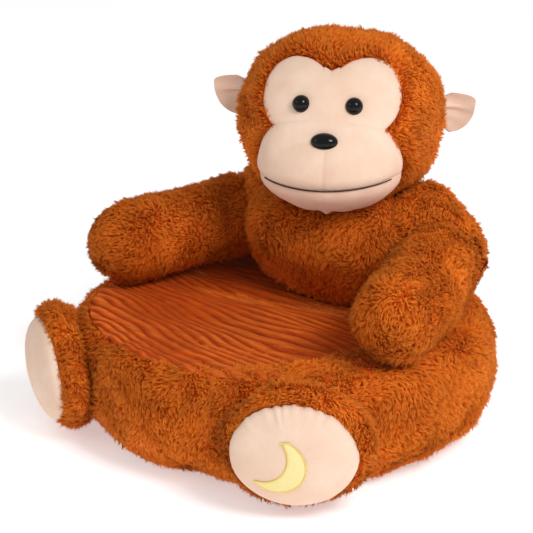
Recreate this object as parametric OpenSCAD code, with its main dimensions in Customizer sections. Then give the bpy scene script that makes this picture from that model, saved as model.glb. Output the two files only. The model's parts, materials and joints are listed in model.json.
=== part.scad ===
// A child's plush armchair in the shape of a seated monkey.
// Millimetres. +Z is up and the monkey faces -Y, so +X is the monkey's own left.
// The origin is on the floor, at the middle of the base's flat bottom panel.

/* [Base cushion] */
// radius of the base at its widest
base_r = 264; // [210:1:330]
// radius of the round at the foot of the side
side_round = 72; // [40:1:80]
// radius of the round that makes the rim
rim_round = 32; // [20:1:45]
// height of the rim's crest
rim_h = 147; // [120:1:190]
// distance of the seat's edge inside the side's widest radius
seat_inset = 30; // [18:1:50]
// how deep the seat is dished
seat_dip = 13; // [5:1:30]

/* [Torso] */
// half width of the torso
torso_rx = 134; // [100:1:170]
// half depth of the torso
torso_ry = 95; // [70:1:120]
// half height of the torso's full oval
torso_rz = 85; // [65:1:110]
// torso middle, measured back from the base's middle
torso_y = 113; // [80:1:130]
// torso middle above the rim's crest
torso_up = 58; // [45:1:75]
// radius of the shoulder rounds
shoulder_r = 53; // [45:1:65]
// shoulder middle, measured out from the centre plane
shoulder_x = 121; // [95:1:140]
// shoulder middle behind the torso's middle
shoulder_back = 18; // [0:1:40]
// shoulder middle above the torso's middle
shoulder_up = 30; // [15:1:50]

/* [Arms] */
// radius of an arm at its root
arm_r = 50.5; // [38:0.5:60]
// radius of an arm at its tip
tip_r = 50; // [38:0.5:60]
// length from the root's middle to the tip's middle
arm_len = 160; // [120:1:200]
// angle that an arm points outwards
arm_out = 18; // [0:0.1:35]
// gap between an arm's tip and the rim below it
arm_over_rim = 1.5; // [0.5:0.5:20]
// arm root's middle, measured out from the centre plane
arm_x = 163; // [130:1:190]
// arm root's middle in front of the torso's middle
arm_front = 22; // [0:1:50]
// arm root's middle above its tip's middle
arm_drop = 9; // [0:1:30]

/* [Head] */
// half width of the head
head_rx = 129; // [105:1:150]
// half depth of the head
head_ry = 118; // [95:1:140]
// half height of the head
head_rz = 114; // [95:1:140]
// head middle above the torso's middle
head_up = 157; // [130:1:190]
// head middle in front of the torso's middle
head_front = 6; // [0:1:30]
// how far the head is turned towards the monkey's left
head_turn = 28.5; // [0:0.5:40]

/* [Face] */
// radius of each lobe of the face patch
lobe_r = 48; // [38:1:58]
// lobe middle, measured out from the face's centre line
lobe_x = 36; // [28:1:44]
// lobe middle above the head's middle
lobe_z = 47; // [35:1:60]
// half width of the muzzle
muzzle_rx = 88; // [70:1:100]
// half depth of the muzzle
muzzle_ry = 62; // [45:1:75]
// half height of the muzzle
muzzle_rz = 56; // [42:1:66]
// muzzle middle in front of the head's middle
muzzle_f = 84; // [70:1:100]
// muzzle middle below the head's middle
muzzle_low = 34; // [25:1:45]
// mouth line below the muzzle's middle
mouth_low = 15; // [5:1:25]
// radius of the mouth's upward curve
mouth_curve = 450; // [250:5:800]
// width of the mouth thread
thread_w = 2; // [1:0.1:4]
// radius of an eye
eye_r = 10.75; // [8:0.25:14]
// eye middle, measured out from the face's centre line
eye_x = 32; // [24:1:42]
// eye middle above the head's middle
eye_z = 47.5; // [40:1:62]
// half width of the nose
nose_rx = 16.5; // [12:0.5:22]
// half height of the nose
nose_rz = 11; // [8:0.5:15]
// height of the nose's dome
nose_ry = 10; // [6:0.5:14]
// radius of the stems behind the eyes and nose
stem_r = 2.5; // [1.5:0.25:3.5]
// length of the stems behind the eyes and nose
stem_len = 24; // [16:1:30]
// radius of the washers that lock the stems
washer_r = 9; // [6:0.5:11]
// thickness of the washers
washer_t = 2; // [1:0.25:3]

/* [Ears] */
// half width of an ear's oval
ear_rx = 34; // [24:1:42]
// half height of an ear
ear_rz = 26; // [18:1:34]
// half thickness of an ear
ear_ry = 8; // [5:0.5:11]
// radius of the rolled edge at an ear's root
ear_roll = 5.3; // [3:0.1:7]
// gap between an ear's rolled edge and the head
ear_gap = 0.5; // [0.4:0.1:3]
// ear root behind the head's middle
ear_back = 26; // [10:1:45]
// ear middle above the head's middle
ear_z = 16; // [0:1:30]
// how far the right ear sits above that, and the left ear below it
ear_skew = 5; // [0:0.5:8]

/* [Feet] */
// half width of a foot
foot_rx = 84; // [65:1:100]
// half length of a foot's full oval
foot_ry = 84; // [65:1:100]
// half height of a foot
foot_rz = 73; // [55:1:80]
// gap between a foot and the floor
foot_lift = 14; // [2:1:20]
// distance of a foot's middle inside the base's widest radius
foot_in = 5; // [0:1:30]
// direction of a foot from straight ahead
foot_dir = 41.7; // [30:1:55]
// angle that a foot's sole faces outwards
foot_out = 32; // [0:1:45]
// angle that a foot's sole faces down
foot_dip = 4; // [0:1:15]
// foot's sole seam in front of the foot's middle
sole_f = 40; // [20:1:50]
// how far a sole bulges in front of its seam
sole_bulge = 25; // [10:1:35]

/* [Banana] */
// radius of the banana's outer curve
banana_r = 33; // [24:1:40]
// width of the banana across its middle
banana_w = 23; // [10:1:26]
// width of the stitched edge
edge_w = 2.4; // [1.5:0.1:4]

/* [Cloth and clearances] */
// thickness of the fur cloth
fur_t = 4; // [2:0.5:7]
// thickness of the short-pile cloth
cloth_t = 3; // [1.5:0.5:5]
// gap between a cover and its stuffing
fill_gap = 0.25; // [0.1:0.05:0.5]
// gap between pieces that are sewn edge to edge
seam_gap = 0.25; // [0.1:0.05:0.5]
// gap between pieces that move past each other
move_gap = 0.7; // [0.4:0.1:1.5]
// how far round the arm's root the shoulder reaches
arm_seam = 20; // [12:1:30]

/* [Hidden] */
$fn = 96;
far = 600;

// base: a round at the foot and one at the rim, and a large ball dishes the seat
side_c = base_r - side_round;
rim_c = base_r - rim_round;
seat_r = base_r - seat_inset;
dish_r = (seat_r * seat_r + seat_dip * seat_dip) / (2 * seat_dip);
dish_z = rim_h - seat_dip + dish_r;

// torso, shoulders and head
torso_z = rim_h + torso_up;
head_y = torso_y - head_front;
head_z = torso_z + head_up;

// arms: the tip clears the rim, and the root is a ball in the shoulder's hollow
tip_z = rim_h + arm_over_rim + tip_r;
root_y = torso_y - arm_front;
root_z = tip_z + arm_drop;
arm_pitch = asin(arm_drop / arm_len);

// face: where the eyes, nose and ears meet the head and muzzle
ear_low = max(0, ear_z - ear_skew - ear_rz * 0.7);
head_side = head_rx * sqrt(1 - pow(ear_back / head_ry, 2) - pow(ear_low / head_rz, 2));
side_yaw = atan2(ear_back / (head_ry * head_ry), head_side / (head_rx * head_rx));
ear_root = head_side + (ear_roll + ear_gap) / cos(side_yaw);
eye_f = head_ry * sqrt(1 - pow(eye_x / head_rx, 2) - pow(eye_z / head_rz, 2));
eye_yaw = atan2(eye_x / (head_rx * head_rx), eye_f / (head_ry * head_ry));
eye_pitch = atan2(eye_z / (head_rz * head_rz), eye_f / (head_ry * head_ry));
sink = 1;
washer_z = -cloth_t - washer_t - 2;
nose_lift = 42;
nose_f = muzzle_f + muzzle_ry * sqrt(1 - pow(nose_lift / muzzle_rz, 2));
nose_z = nose_lift - muzzle_low;
nose_pitch = atan2(nose_lift / (muzzle_rz * muzzle_rz), (nose_f - muzzle_f) / (muzzle_ry * muzzle_ry));
mouth_z = -muzzle_low - mouth_low + mouth_curve;

// feet: the sole's half sizes at its seam
foot_x = (base_r - foot_in) * sin(foot_dir);
foot_y = (base_r - foot_in) * cos(foot_dir);
foot_z = foot_lift + foot_rz;
sole_k = sqrt(1 - pow(sole_f / foot_ry, 2));
wall_z = side_round * 0.7;
wall_in = side_round * 0.44;
banana_x = -17;
banana_z = -8;

fur_color = [0.76, 0.36, 0.12];
seat_color = [0.60, 0.25, 0.08];
peach = [0.96, 0.84, 0.74];
fill_color = [0.93, 0.92, 0.89];

module oval(rx, ry, rz) {
    scale([rx, ry, rz]) sphere(r = 1, $fn = 64);
}

// the base's solid form, shrunk by t all over
module base_form(t) {
    difference() {
        rotate_extrude()
            union() {
                translate([side_c, side_round]) circle(r = side_round - t);
                translate([rim_c, rim_h - rim_round]) circle(r = rim_round - t);
                translate([0, t]) square([min(side_c, rim_c), rim_h - 2 * t]);
                translate([0, side_round]) square([base_r - t, rim_h - rim_round - side_round]);
            }
        translate([0, 0, dish_z]) sphere(r = dish_r + t, $fn = 200);
    }
}

module base_bottom_panel() {
    color([0.35, 0.2, 0.12]) cylinder(r = side_c - seam_gap, h = fur_t);
}

module base_side_cover() {
    color(fur_color)
        difference() {
            base_form(0);
            base_form(fur_t);
            translate([0, 0, -1]) cylinder(r = side_c, h = fur_t + 2);
            translate([0, 0, rim_h / 2]) cylinder(r = seat_r, h = rim_h);
        }
}

module base_stuffing() {
    color(fill_color) base_form(fur_t + fill_gap);
}

module seat_panel() {
    color(seat_color)
        intersection() {
            translate([0, 0, rim_h / 2]) cylinder(r = seat_r - seam_gap, h = rim_h);
            difference() {
                translate([0, 0, dish_z]) sphere(r = dish_r + fur_t, $fn = 200);
                translate([0, 0, dish_z]) sphere(r = dish_r, $fn = 200);
            }
        }
}

// puts its children at an arm's root, with -Y along the arm
module at_arm(side) {
    translate([side * arm_x, root_y, root_z])
        rotate([0, 0, side * arm_out])
            rotate([arm_pitch, 0, 0])
                children();
}

// what an arm needs as it lifts, grown by t
module arm_room(side, t) {
    at_arm(side) {
        sphere(r = arm_r + t);
        rotate([90, 0, 0]) cylinder(r = arm_r + t, h = far);
    }
    translate([side * arm_x, root_y, root_z])
        rotate([0, 0, side * arm_out])
            translate([-arm_r - t, -far, 0])
                cube([2 * (arm_r + t), far, far]);
}

// one shoulder's solid form, shrunk by t
module shoulder_form(side, t) {
    translate([side * shoulder_x, torso_y + shoulder_back, torso_z + shoulder_up])
        sphere(r = shoulder_r - t);
    at_arm(side)
        intersection() {
            translate([0, arm_seam + arm_r / 2, 0]) sphere(r = arm_r * 1.1 - t);
            translate([-far / 2, arm_seam + t, -far / 2]) cube(far);
        }
}

// the torso's solid form, shrunk by t all over
module torso_form(t) {
    difference() {
        union() {
            translate([0, torso_y, torso_z]) oval(torso_rx - t, torso_ry - t, torso_rz - t);
            shoulder_form(1, t);
            shoulder_form(-1, t);
        }
        translate([0, head_y, head_z])
            oval(head_rx + move_gap + t, head_rx + move_gap + t, head_rz + move_gap + t);
        arm_room(1, move_gap + t);
        arm_room(-1, move_gap + t);
        difference() {
            translate([-far / 2, -far / 2, 0]) cube([far, far, rim_h + 20]);
            translate([0, 0, dish_z]) sphere(r = dish_r - seam_gap - t, $fn = 200);
        }
    }
}

module torso_cover() {
    color(fur_color)
        difference() {
            torso_form(0);
            torso_form(fur_t);
        }
}

module torso_stuffing() {
    color(fill_color) torso_form(fur_t + fill_gap);
}

// puts its children at the head's middle, with -Y out of the face
module at_head() {
    translate([0, head_y, head_z])
        rotate([0, 0, head_turn])
            children();
}

module head_form(t) {
    oval(head_rx - t, head_ry - t, head_rz - t);
}

// the head's form with its poles fore and aft, away from the muzzle's edge
module head_core(t) {
    scale([head_rx - t, head_ry - t, head_rz - t])
        rotate([90, 0, 0])
            sphere(r = 1);
}

module muzzle_form(t) {
    translate([0, -muzzle_f, -muzzle_low])
        oval(muzzle_rx - t, muzzle_ry - t, muzzle_rz - t);
}

// the face patch's heart outline as a prism, grown by t
module heart(t) {
    rotate([90, 0, 0])
        linear_extrude(height = far)
            union() {
                translate([lobe_x, lobe_z]) circle(r = lobe_r + t);
                translate([-lobe_x, lobe_z]) circle(r = lobe_r + t);
                translate([0, lobe_z + lobe_r / 3]) circle(r = lobe_r / 2 + t);
                translate([-lobe_x, lobe_z - lobe_r - t]) square([2 * lobe_x, lobe_r]);
            }
}

// puts its children where an eye meets the face, with +Z straight out
module at_eye(side) {
    at_head()
        translate([side * eye_x, -eye_f, eye_z])
            rotate([0, 0, side * eye_yaw])
                rotate([90 - eye_pitch, 0, 0])
                    children();
}

// puts its children where the nose meets the muzzle, with +Z straight out
module at_nose() {
    at_head()
        translate([0, -nose_f, nose_z])
            rotate([90 - nose_pitch, 0, 0])
                children();
}

// room inside the stuffing for a stem and its washer
module stem_room() {
    translate([0, 0, -stem_len - fill_gap]) cylinder(r = stem_r + fill_gap, h = far);
    translate([0, 0, washer_z - fill_gap]) cylinder(r = washer_r + fill_gap, h = far);
}

// room through the cloth for a stem and for the part's flat back
module stem_hole() {
    translate([0, 0, -stem_len]) cylinder(r = stem_r + fill_gap, h = far);
}

module stem() {
    translate([0, 0, -stem_len]) cylinder(r = stem_r, h = stem_len);
}

module washer() {
    translate([0, 0, washer_z])
        difference() {
            cylinder(r = washer_r, h = washer_t);
            translate([0, 0, -1]) cylinder(r = stem_r + fill_gap / 2, h = washer_t + 2);
        }
}

// an oval button with a flat back sunk a little into the cloth
module button(rx, rz, ry, t) {
    difference() {
        oval(rx + t, rz + t, ry + t);
        translate([-far / 2, -far / 2, -far - sink - t]) cube(far);
    }
}

module head_cover() {
    color(fur_color)
        at_head()
            difference() {
                head_form(0);
                head_form(fur_t);
                heart(seam_gap);
                muzzle_form(0);
            }
}

module head_stuffing() {
    color(fill_color)
        difference() {
            at_head()
                difference() {
                    head_core(fur_t + fill_gap);
                    muzzle_form(-fill_gap);
                }
            at_eye(1) stem_room();
            at_eye(-1) stem_room();
        }
}

module face_patch() {
    color(peach)
        difference() {
            at_head()
                difference() {
                    intersection() {
                        head_form(0);
                        heart(0);
                    }
                    head_form(cloth_t);
                    muzzle_form(-seam_gap);
                }
            at_eye(1) stem_hole();
            at_eye(-1) stem_hole();
            at_eye(1) button(eye_r, eye_r, eye_r, fill_gap);
            at_eye(-1) button(eye_r, eye_r, eye_r, fill_gap);
            at_nose() button(nose_rx, nose_rz, nose_ry, fill_gap);
        }
}

// half space above or below the mouth's curve
module mouth_drum(t) {
    translate([0, far / 2, mouth_z])
        rotate([90, 0, 0])
            cylinder(r = mouth_curve + t, h = far, $fn = 200);
}

module muzzle_shell() {
    difference() {
        muzzle_form(0);
        muzzle_form(cloth_t);
    }
}

module muzzle_upper_panel() {
    color(peach)
        difference() {
            at_head()
                intersection() {
                    muzzle_shell();
                    mouth_drum(-thread_w / 2 - seam_gap);
                }
            at_nose() button(nose_rx, nose_rz, nose_ry, fill_gap);
            at_nose() stem_hole();
        }
}

module chin_panel() {
    color([0.95, 0.81, 0.72])
        at_head()
            difference() {
                muzzle_shell();
                mouth_drum(thread_w / 2 + seam_gap);
            }
}

module mouth_thread() {
    color([0.06, 0.05, 0.05])
        at_head()
            intersection() {
                difference() {
                    muzzle_form(-thread_w / 4);
                    muzzle_form(thread_w / 2);
                }
                difference() {
                    mouth_drum(thread_w / 2);
                    mouth_drum(-thread_w / 2);
                }
                translate([-far / 2, -far - muzzle_f - muzzle_ry * 0.25, -far / 2]) cube(far);
            }
}

module muzzle_stuffing() {
    color(fill_color)
        difference() {
            at_head() muzzle_form(cloth_t + fill_gap);
            at_nose() stem_room();
            at_eye(1) stem_room();
            at_eye(-1) stem_room();
        }
}

module nose() {
    color([0.02, 0.02, 0.02])
        at_nose() {
            button(nose_rx, nose_rz, nose_ry, 0);
            stem();
        }
}

module nose_washer() {
    color([0.85, 0.85, 0.82])
        at_nose() washer();
}

module eye(side) {
    color([0.02, 0.02, 0.02])
        at_eye(side) {
            button(eye_r, eye_r, eye_r, 0);
            stem();
        }
}

module eye_left() {
    eye(1);
}

module eye_right() {
    eye(-1);
}

module eye_washers() {
    color([0.85, 0.85, 0.82]) {
        at_eye(1) washer();
        at_eye(-1) washer();
    }
}

// puts its children on an ear's root line, with +X out of the head
module at_ear(side) {
    at_head()
        translate([side * ear_root, ear_back, ear_z - side * ear_skew])
            mirror([side < 0 ? 1 : 0, 0, 0])
                children();
}

// an ear: an oval flap with a rolled edge at its root
module ear_form(t) {
    difference() {
        oval(ear_rx - t, ear_ry - t, ear_rz - t);
        translate([-far, -far / 2, -far / 2]) cube(far);
    }
    translate([0, 0, -ear_rz * 0.7]) cylinder(r = ear_roll - t, h = ear_rz * 1.4);
}

module ear_front(side) {
    color(peach)
        at_ear(side)
            difference() {
                ear_form(0);
                translate([-far / 2, -seam_gap / 2, -far / 2]) cube(far);
            }
}

module ear_back(side) {
    color(peach)
        at_ear(side)
            difference() {
                ear_form(0);
                translate([-far / 2, seam_gap / 2 - far, -far / 2]) cube(far);
            }
}

module ear_left_front() {
    ear_front(1);
}

module ear_left_back() {
    ear_back(1);
}

module ear_right_front() {
    ear_front(-1);
}

module ear_right_back() {
    ear_back(-1);
}

// an arm's solid form, shrunk by t: a ball, a tube and a ball
module arm_form(t) {
    sphere(r = arm_r - t);
    rotate([90, 0, 0]) cylinder(r1 = arm_r - t, r2 = tip_r - t, h = arm_len);
    translate([0, -arm_len, 0]) sphere(r = tip_r - t);
}

module arm_cover(side) {
    color(fur_color)
        at_arm(side)
            difference() {
                arm_form(0);
                arm_form(fur_t);
            }
}

module arm_left_cover() {
    arm_cover(1);
}

module arm_right_cover() {
    arm_cover(-1);
}

module arm_left_stuffing() {
    color(fill_color) at_arm(1) arm_form(fur_t + fill_gap);
}

module arm_right_stuffing() {
    color(fill_color) at_arm(-1) arm_form(fur_t + fill_gap);
}

// puts its children at a foot's middle, with -Y out of the sole
module at_foot(side) {
    translate([side * foot_x, -foot_y, foot_z])
        rotate([0, 0, side * foot_out])
            rotate([foot_dip, 0, 0])
                children();
}

// a foot's full oval, shrunk by t, with its poles fore and aft
module foot_oval(t) {
    scale([foot_rx - t, foot_ry - t, foot_rz - t])
        rotate([90, 0, 0])
            sphere(r = 1);
}

// everything behind a foot's sole seam, with t to spare
module behind_seam(t) {
    translate([-far / 2, t - sole_f, -far / 2]) cube(far);
}

// a sole's bulge, shrunk by t
module sole_dome(t) {
    translate([0, -sole_f, 0])
        difference() {
            oval(foot_rx * sole_k - t, sole_bulge - t, foot_rz * sole_k - t);
            translate([-far / 2, 0, -far / 2]) cube(far);
        }
}

// what a foot's back lies against: an upright wall that draws in near the floor, grown by t
module base_wall(t) {
    translate([0, 0, wall_z]) cylinder(r = base_r + t, h = far);
    translate([0, 0, -wall_z]) cylinder(r1 = base_r + t - 2 * wall_in, r2 = base_r + t, h = 2 * wall_z);
}

module foot_cover(side) {
    color(fur_color)
        difference() {
            at_foot(side)
                intersection() {
                    difference() {
                        foot_oval(0);
                        foot_oval(fur_t);
                    }
                    behind_seam(seam_gap);
                }
            base_wall(seam_gap);
        }
}

module foot_sole(side) {
    color(peach)
        at_foot(side)
            difference() {
                sole_dome(0);
                sole_dome(cloth_t);
            }
}

module foot_stuffing(side) {
    t = fur_t + fill_gap;
    color(fill_color)
        difference() {
            at_foot(side) {
                intersection() {
                    foot_oval(t);
                    behind_seam(0);
                }
                sole_dome(t);
            }
            base_wall(seam_gap);
        }
}

module foot_left_cover() {
    foot_cover(1);
}

module foot_left_sole() {
    foot_sole(1);
}

module foot_left_stuffing() {
    foot_stuffing(1);
}

module foot_right_cover() {
    foot_cover(-1);
}

module foot_right_sole() {
    foot_sole(-1);
}

module foot_right_stuffing() {
    foot_stuffing(-1);
}

// the banana's outline as a prism out of the sole, grown by t
module banana(t) {
    rotate([90, 0, 0])
        linear_extrude(height = far)
            translate([banana_x, banana_z])
                difference() {
                    circle(r = banana_r + t);
                    translate([-banana_w * 0.87, banana_w * 0.5]) circle(r = banana_r - t);
                }
}

// a layer on the left sole between two heights above its surface
module on_sole(low, high) {
    difference() {
        sole_dome(-high);
        sole_dome(-low);
    }
}

module banana_patch() {
    color([0.95, 0.87, 0.62])
        at_foot(1)
            intersection() {
                on_sole(0.05, 1);
                banana(-edge_w / 2 - 0.1);
            }
}

module banana_edge() {
    color([0.93, 0.77, 0.42])
        at_foot(1)
            intersection() {
                on_sole(0.05, 1.6);
                difference() {
                    banana(edge_w / 2);
                    banana(-edge_w / 2);
                }
            }
}

base_bottom_panel();
base_side_cover();
base_stuffing();
seat_panel();
torso_cover();
torso_stuffing();
head_cover();
head_stuffing();
face_patch();
muzzle_upper_panel();
chin_panel();
muzzle_stuffing();
mouth_thread();
nose();
nose_washer();
eye_left();
eye_right();
eye_washers();
ear_left_front();
ear_left_back();
ear_right_front();
ear_right_back();
arm_left_cover();
arm_left_stuffing();
arm_right_cover();
arm_right_stuffing();
foot_left_cover();
foot_left_sole();
foot_left_stuffing();
foot_right_cover();
foot_right_sole();
foot_right_stuffing();
banana_patch();
banana_edge();
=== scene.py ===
"""The plush monkey armchair: fur, short-pile face and soles, ribbed seat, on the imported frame."""
import json
import math

import bmesh
import bpy
import numpy as np
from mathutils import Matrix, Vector
from mathutils.kdtree import KDTree


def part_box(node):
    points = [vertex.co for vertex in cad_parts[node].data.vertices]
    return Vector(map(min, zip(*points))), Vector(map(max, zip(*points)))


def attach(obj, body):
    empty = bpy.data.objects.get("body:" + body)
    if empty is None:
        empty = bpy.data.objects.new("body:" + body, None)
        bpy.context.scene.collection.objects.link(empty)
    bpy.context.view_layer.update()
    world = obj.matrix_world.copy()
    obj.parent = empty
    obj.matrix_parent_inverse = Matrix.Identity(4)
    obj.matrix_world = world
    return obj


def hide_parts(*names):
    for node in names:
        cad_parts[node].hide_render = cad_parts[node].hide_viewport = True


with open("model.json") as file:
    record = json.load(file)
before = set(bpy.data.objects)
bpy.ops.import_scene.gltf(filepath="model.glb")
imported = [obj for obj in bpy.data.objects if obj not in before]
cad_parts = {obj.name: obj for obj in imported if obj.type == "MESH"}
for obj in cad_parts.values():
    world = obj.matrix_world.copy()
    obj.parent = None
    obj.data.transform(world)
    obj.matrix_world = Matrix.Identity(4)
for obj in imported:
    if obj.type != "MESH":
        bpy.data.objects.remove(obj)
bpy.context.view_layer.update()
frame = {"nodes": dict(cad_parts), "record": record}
MM = 0.001
UP = np.array([0.0, 0.0, 1.0])

# ---- camera
AZIMUTH, ELEVATION = math.radians(39.0), math.radians(20.5)
CAM_DISTANCE = 2.3
FRAME_WIDTH = 0.66  # width of the view at the target
TARGET = Vector((0.0, -0.013, 0.19))

view_dir = Vector((math.sin(AZIMUTH) * math.cos(ELEVATION),
                   -math.cos(AZIMUTH) * math.cos(ELEVATION), math.sin(ELEVATION)))
cam = bpy.data.objects.new("camera", bpy.data.cameras.new("camera"))
bpy.context.collection.objects.link(cam)
cam.location = TARGET + CAM_DISTANCE * view_dir
cam.rotation_euler = (-view_dir).to_track_quat("-Z", "Y").to_euler()
cam.data.sensor_width = 36.0
cam.data.lens = 36.0 * CAM_DISTANCE / FRAME_WIDTH
cam.data.shift_x = -0.0253
cam.data.shift_y = 0.016
bpy.context.scene.camera = cam

# ---- places and sizes, from the frame
record = frame["record"]
joints = {j["name"]: j for j in record["behaviour"]["joints"]}


def box(node):
    lo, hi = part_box(node)
    return np.array(lo), np.array(hi)


def turn_z(angle):
    c, s = math.cos(angle), math.sin(angle)
    return np.array([[c, -s, 0.0], [s, c, 0.0], [0.0, 0.0, 1.0]])


def unit(v):
    return v / np.maximum(np.linalg.norm(v, axis=-1, keepdims=True), 1e-12)


head_c = np.array(joints["head_turn"]["pos_m"])
nose_c = np.mean(box("nose"), axis=0)
HEAD_YAW = math.atan2(nose_c[0] - head_c[0], -(nose_c[1] - head_c[1]))
head_turn = turn_z(HEAD_YAW)
head_half = (box("head_cover")[1] - box("head_cover")[0]) / 2
c2, s2 = math.cos(HEAD_YAW) ** 2, math.sin(HEAD_YAW) ** 2
HEAD_RX = math.sqrt((head_half[0] ** 2 * c2 - head_half[1] ** 2 * s2) / (c2 - s2))
HEAD_RY = math.sqrt((head_half[1] ** 2 * c2 - head_half[0] ** 2 * s2) / (c2 - s2))
HEAD_RZ = head_half[2]
HEAD_R = np.array([HEAD_RX, HEAD_RY, HEAD_RZ])
MUZZLE_C = np.array([0.0, -84.0, -34.0]) * MM
MUZZLE_R = np.array([88.0, 62.0, 56.0]) * MM
MUZZLE_RISE = 14.5 * MM  # how far the upper panel's cloth runs up over the face patch
MOUTH_DROP = 15 * MM
MOUTH_CURVE = 450 * MM
MOUTH_TILT = 0.035
LOBE_R, LOBE_X, LOBE_Z = 48 * MM, 36 * MM, 47 * MM
NOTCH_Z = 85 * MM
EYE_X, EYE_Z, EYE_R = 32 * MM, 47.5 * MM, 10.75 * MM  # beside and above the head's middle, and its size
NOSE_Z, NOSE_Y = 42 * MM, 41.3 * MM  # above and in front of the muzzle's middle
EAR_W, EAR_H = 34 * MM, 26 * MM

seat_lo, seat_hi = box("seat_panel")
SEAT_R = (seat_hi[0] - seat_lo[0]) / 2
SEAT_T = 4 * MM
side_lo, side_hi = box("base_side_cover")
BASE_R = (side_hi[0] - side_lo[0]) / 2
RIM_H = side_hi[2]
FLOOR_R = (box("base_bottom_panel")[1][0] - box("base_bottom_panel")[0][0]) / 2
FOOT_OUT = math.radians(32.0)
FOOT_DIP = math.radians(4.0)
FOOT_R = np.array([84.0, 84.0, 73.0]) * MM
SOLE_F = 40 * MM
SOLE_R = FOOT_R * math.sqrt(1 - (SOLE_F / FOOT_R[1]) ** 2)
SOLE_R[1] = 25 * MM
RIBS_C, RIBS_R = np.array([-45.0, -38.0]) * MM, 193 * MM  # the round of the seat without pile
RIB_PITCH, RIB_RISE = 13.5 * MM, 3.8 * MM
BULGE, BULGE_WAY, BULGE_SPREAD = 13 * MM, math.radians(-145), 0.45  # fuller stuffing over the right foot
BASE_SLICES = 11


# one hair is a three-sided spike: three points round its root, three round its middle and the tip
HAIR_SIDES, HAIR_POINTS = 3, 7
HAIR_LENGTH, HAIR_WIDTH = 8.8 * MM, 0.6 * MM
HAIR_SPACING, TUFT_SPACING = 1.5 * MM, 3.4 * MM
HAIR_LEAN = 1.02  # radians away from standing straight up
TUFT_SPREAD = 0.8  # how unevenly the tufts lie
TUFT_GATHER = 0.52  # how far hairs bend to the tip of their tuft


def to_head(p):
    return (p - head_c) @ head_turn


def from_head(p):
    return p @ head_turn.T + head_c


# ---- small tools
def waves(p, size, seed, octaves=2, count=7):
    """Smooth noise about -1..1 at points p (n, 3), with features about size metres across."""
    gen = np.random.default_rng(seed)
    total = np.zeros(len(p))
    gain, scale = 1.0, 2 * math.pi / (size * 2.2)
    for _ in range(octaves):
        k = unit(gen.normal(size=(count, 3))) * scale * gen.uniform(0.6, 1.4, (count, 1))
        phase = gen.uniform(0, 2 * math.pi, count)
        total += gain * np.sin(p @ k.T + phase).sum(axis=1) / math.sqrt(count)
        gain, scale = gain * 0.5, scale * 2.1
    return total


def fade_in(v, start, width):
    """0 up to start, 1 from start + width on, straight between."""
    return np.clip((v - start) / width, 0, 1)


def fade_out(v, end, width):
    """1 up to end - width, 0 from end on, straight between."""
    return np.clip((end - v) / width, 0, 1)


def flow_noise(p, size, seed):
    return np.stack([waves(p, size, seed + i) for i in range(3)], axis=1)


def link(name, mesh):
    obj = bpy.data.objects.new(name, mesh)
    bpy.context.collection.objects.link(obj)
    return obj


def mesh_of(name, co, faces):
    """An object from vertices (n, 3) and faces, an array of equal faces or a list."""
    mesh = bpy.data.meshes.new(name)
    if isinstance(faces, np.ndarray):
        n, k = faces.shape
        mesh.vertices.add(len(co))
        mesh.vertices.foreach_set("co", co.astype(np.float32).ravel())
        mesh.loops.add(n * k)
        mesh.loops.foreach_set("vertex_index", faces.astype(np.int32).ravel())
        mesh.polygons.add(n)
        mesh.polygons.foreach_set("loop_start", np.arange(0, n * k, k, dtype=np.int32))
        mesh.update(calc_edges=True)
    else:
        mesh.from_pydata(co.tolist(), [], faces)
        mesh.update()
    return link(name, mesh)


def smooth(obj):
    obj.data.polygons.foreach_set("use_smooth", [True] * len(obj.data.polygons))
    obj.data.update()
    return obj


def apply_modifiers(obj):
    deps = bpy.context.evaluated_depsgraph_get()
    mesh = bpy.data.meshes.new_from_object(obj.evaluated_get(deps))
    obj.modifiers.clear()
    old = obj.data
    obj.data = mesh
    bpy.data.meshes.remove(old)
    return obj


def numbers(items, field, kind=np.float32):
    """One field of every item, three numbers each."""
    data = np.empty(len(items) * 3, dtype=kind)
    items.foreach_get(field, data)
    return data.reshape(-1, 3)


def coords(mesh):
    return numbers(mesh.vertices, "co").astype(float)


def normals(mesh):
    return numbers(mesh.vertices, "normal").astype(float)


def triangles(mesh):
    mesh.calc_loop_triangles()
    return numbers(mesh.loop_triangles, "vertices", np.int32)


def set_coords(mesh, co):
    mesh.vertices.foreach_set("co", co.astype(np.float32).ravel())
    mesh.update()


def outward(obj, weld=0.0):
    """Turns every face of a closed piece outwards, after joining points that are closer than weld."""
    mesh = bmesh.new()
    mesh.from_mesh(obj.data)
    if weld:
        bmesh.ops.remove_doubles(mesh, verts=mesh.verts, dist=weld)
    bmesh.ops.recalc_face_normals(mesh, faces=mesh.faces)
    mesh.to_mesh(obj.data)
    mesh.free()
    return smooth(obj)


def grid_faces(rows, cols):
    """The faces over a grid of points, and the points round its rim in order."""
    grid = np.arange(rows * cols).reshape(rows, cols)
    corners = (grid[:-1, :-1], grid[:-1, 1:], grid[1:, 1:], grid[1:, :-1])
    rim = np.concatenate([grid[0, :], grid[1:, -1], grid[-1, -2::-1], grid[-2:0:-1, 0]])
    return np.stack([c.ravel() for c in corners], axis=1), rim


def sheet(name, top, under, rows, cols, weld=0.0):
    """A closed piece from two grids of points, one over the other, joined round the rim."""
    face, rim = grid_faces(rows, cols)
    n = rows * cols
    ahead = np.roll(rim, -1)
    wall = np.stack([rim, ahead, ahead + n, rim + n], axis=1)
    faces = np.vstack([face, face[:, ::-1] + n, wall])
    return outward(mesh_of(name, np.vstack([top, under]), faces), weld)


def paint(obj, name, data):
    """A colour for every point of a piece, that its material reads by name."""
    attr = obj.data.attributes.new(name, "FLOAT_COLOR", "POINT")
    attr.data.foreach_set("color", data.ravel())


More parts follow.
